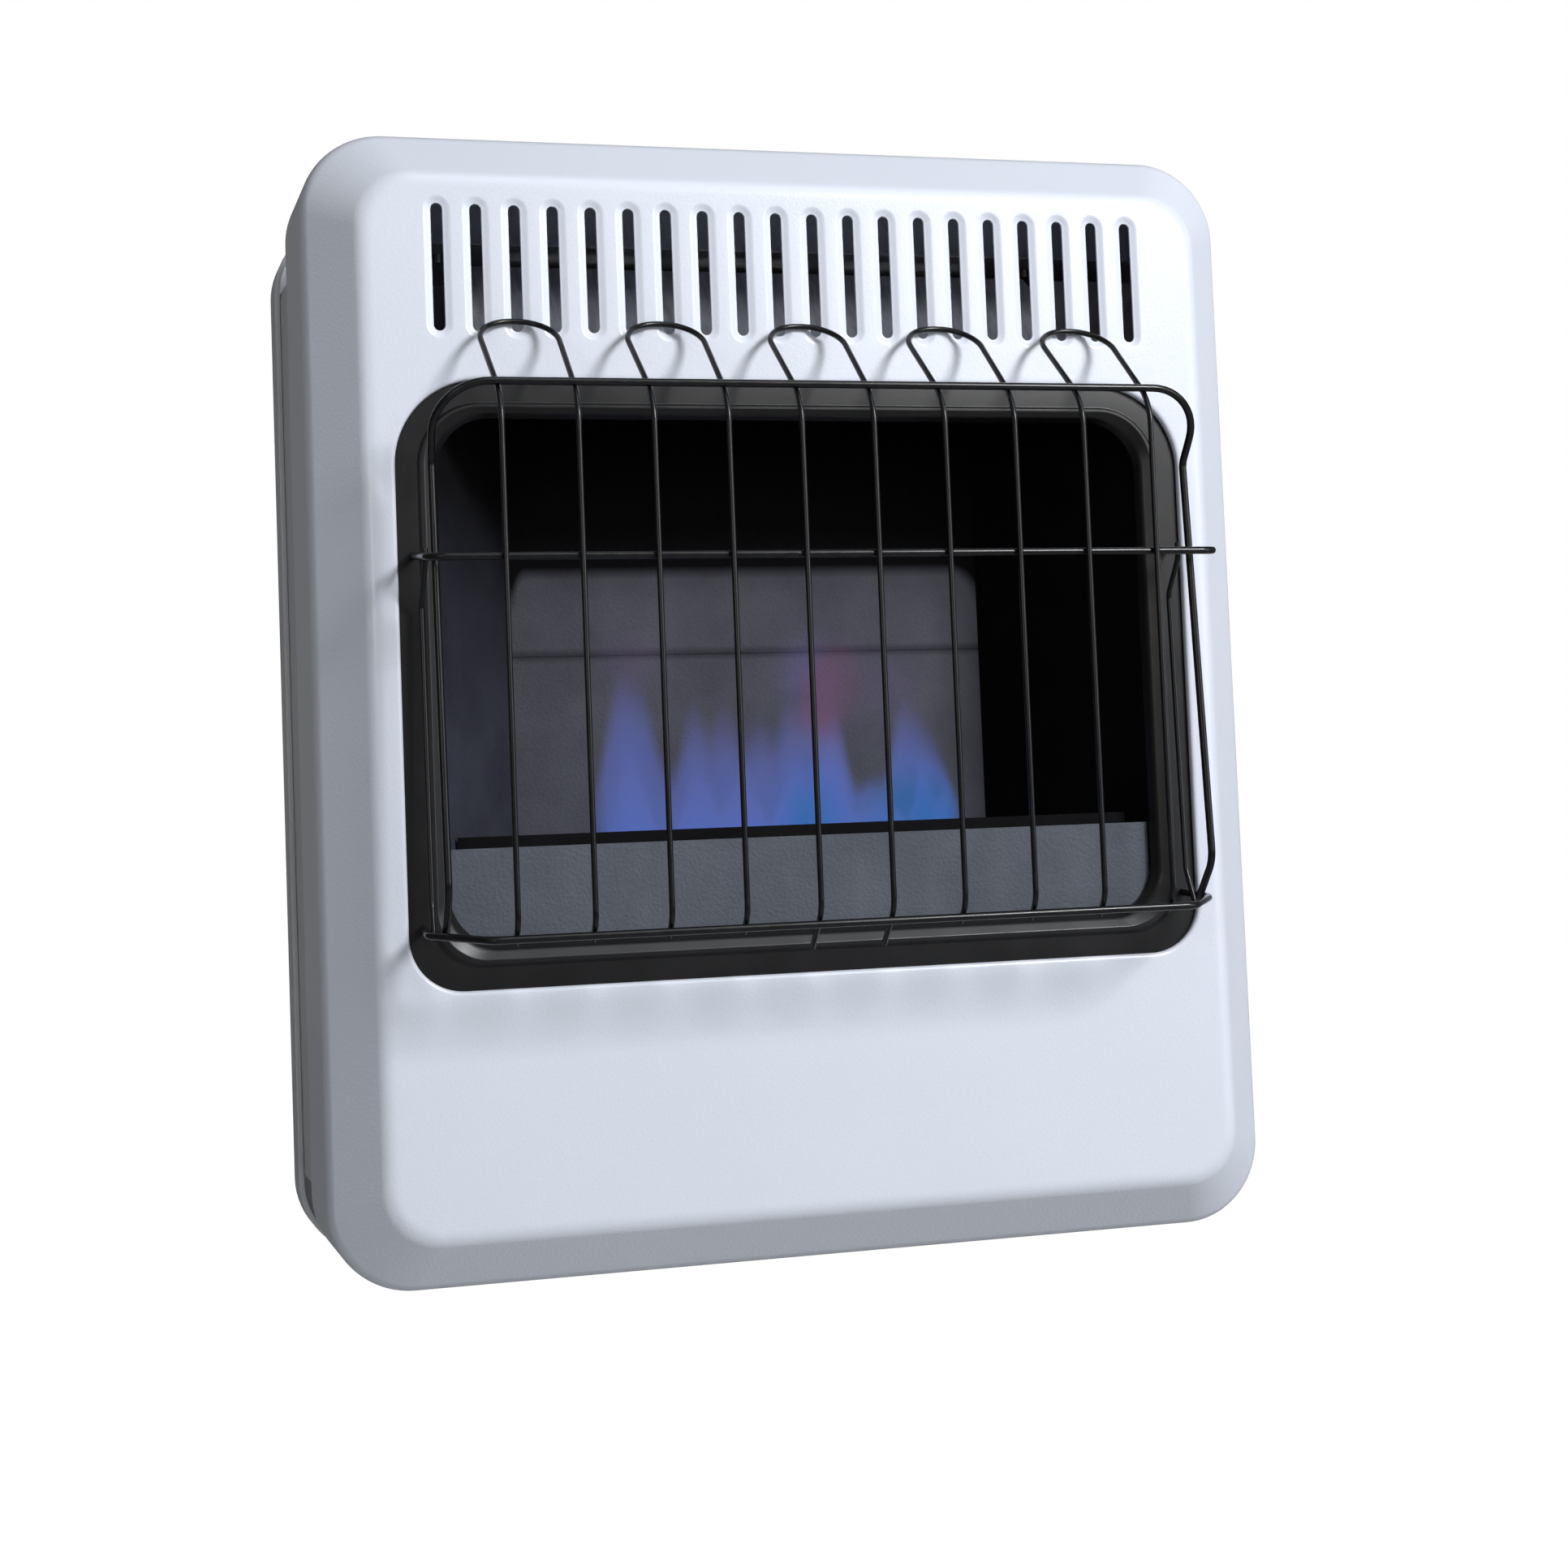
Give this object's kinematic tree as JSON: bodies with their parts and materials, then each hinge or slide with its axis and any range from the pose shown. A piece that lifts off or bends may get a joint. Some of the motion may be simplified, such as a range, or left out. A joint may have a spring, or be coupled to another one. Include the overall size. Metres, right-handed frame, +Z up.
{
  "type": "wall-mounted gas heater",
  "caption": "Vent-free blue flame wall heater: pressed cover with louvre slots, glowing-flame window, wire guard, burner and gas controls in a wall casing.",
  "frame": {"origin": "on the flat rear face of the back panel, on the width's centre line, at half the cover's height", "axes": "+X to the viewer's right, +Y into the wall, +Z up; the room is towards -Y"},
  "size_m": [0.52, 0.2534, 0.6],
  "materials": {
    "white_enamel": "glossy powder coat",
    "casing_paint": "satin paint",
    "black_gloss": "semi-gloss stoved black",
    "black_wire": "satin black",
    "chamber_black": "matt heat-resistant black",
    "chamber_grey": "matt textured grey",
    "zinc_plate": "zinc plated",
    "brass": "machined",
    "cast_aluminium": "die-cast",
    "tube_aluminium": "drawn tube",
    "black_plastic": "matt moulded",
    "red_plastic": "gloss moulded",
    "white_ceramic": "glazed",
    "lead_sleeve": "silicone sleeve"
  },
  "bodies": {
    "cabinet": {"wall_bracket": "zinc_plate", "back_panel": "casing_paint", "casing_side_left": "casing_paint", "casing_side_right": "casing_paint", "casing_top": "casing_paint", "casing_bottom": "casing_paint", "front_cover": "white_enamel", "cover_screw_top_left": "zinc_plate", "cover_screw_top_right": "zinc_plate", "cover_screw_bottom_left": "zinc_plate", "cover_screw_bottom_right": "zinc_plate", "firebox_trim": "black_gloss", "chamber_shelf": "chamber_black", "chamber_side_left": "chamber_grey", "chamber_side_right": "chamber_grey", "chamber_back_lower": "chamber_grey", "chamber_back_upper": "chamber_grey", "firebox_roof": "chamber_black", "front_baffle": "chamber_grey", "burner_cover": "chamber_black", "burner_tube": "tube_aluminium", "mixer_tube": "zinc_plate", "burner_saddle_left": "zinc_plate", "burner_saddle_right": "zinc_plate", "injector": "brass", "injector_mount": "zinc_plate", "pilot_plate": "zinc_plate", "pilot_burner": "zinc_plate", "spark_electrode": "white_ceramic", "thermocouple": "zinc_plate", "valve_bracket": "zinc_plate", "gas_valve": "cast_aluminium", "igniter_body": "black_plastic", "igniter_nut": "zinc_plate", "dial_plate": "cast_aluminium", "regulator_body": "cast_aluminium", "regulator_cap": "black_plastic", "inlet_fitting": "brass", "supply_tube": "tube_aluminium", "burner_gas_tube": "tube_aluminium", "thermocouple_lead": "brass", "pilot_tube": "tube_aluminium", "ignition_lead": "lead_sleeve", "thermostat_capillary": "brass", "thermostat_bulb": "brass", "bulb_clip": "zinc_plate", "guard_hairpin_1": "black_wire", "guard_hairpin_2": "black_wire", "guard_hairpin_3": "black_wire", "guard_hairpin_4": "black_wire", "guard_hairpin_5": "black_wire", "guard_frame": "black_wire", "guard_mid_rail": "black_wire", "guard_bottom_rail": "black_wire", "guard_side_wire_left": "black_wire", "guard_side_wire_right": "black_wire"},
    "cam": {"valve_cam": "brass"},
    "control": {"control_spindle": "zinc_plate", "control_knob": "black_plastic"},
    "igniter": {"igniter_button": "red_plastic"}
  },
  "joints": [
    {"name": "knob_turn", "type": "hinge", "parent": "cabinet", "child": "cam", "pos_m": [0.2018, -0.05, 0.26], "axis": [0, 0, 1], "range_deg": [0, 255]},
    {"name": "knob_press", "type": "slide", "parent": "cam", "child": "control", "axis": [0, 0, -1], "range_m": [0, 0.0035], "stiffness_N_per_m": 800, "springref_m": -0.003},
    {"name": "igniter_press", "type": "slide", "parent": "cabinet", "child": "igniter", "axis": [0, 0, -1], "range_m": [0, 0.006], "stiffness_N_per_m": 1500, "springref_m": -0.002}
  ]
}
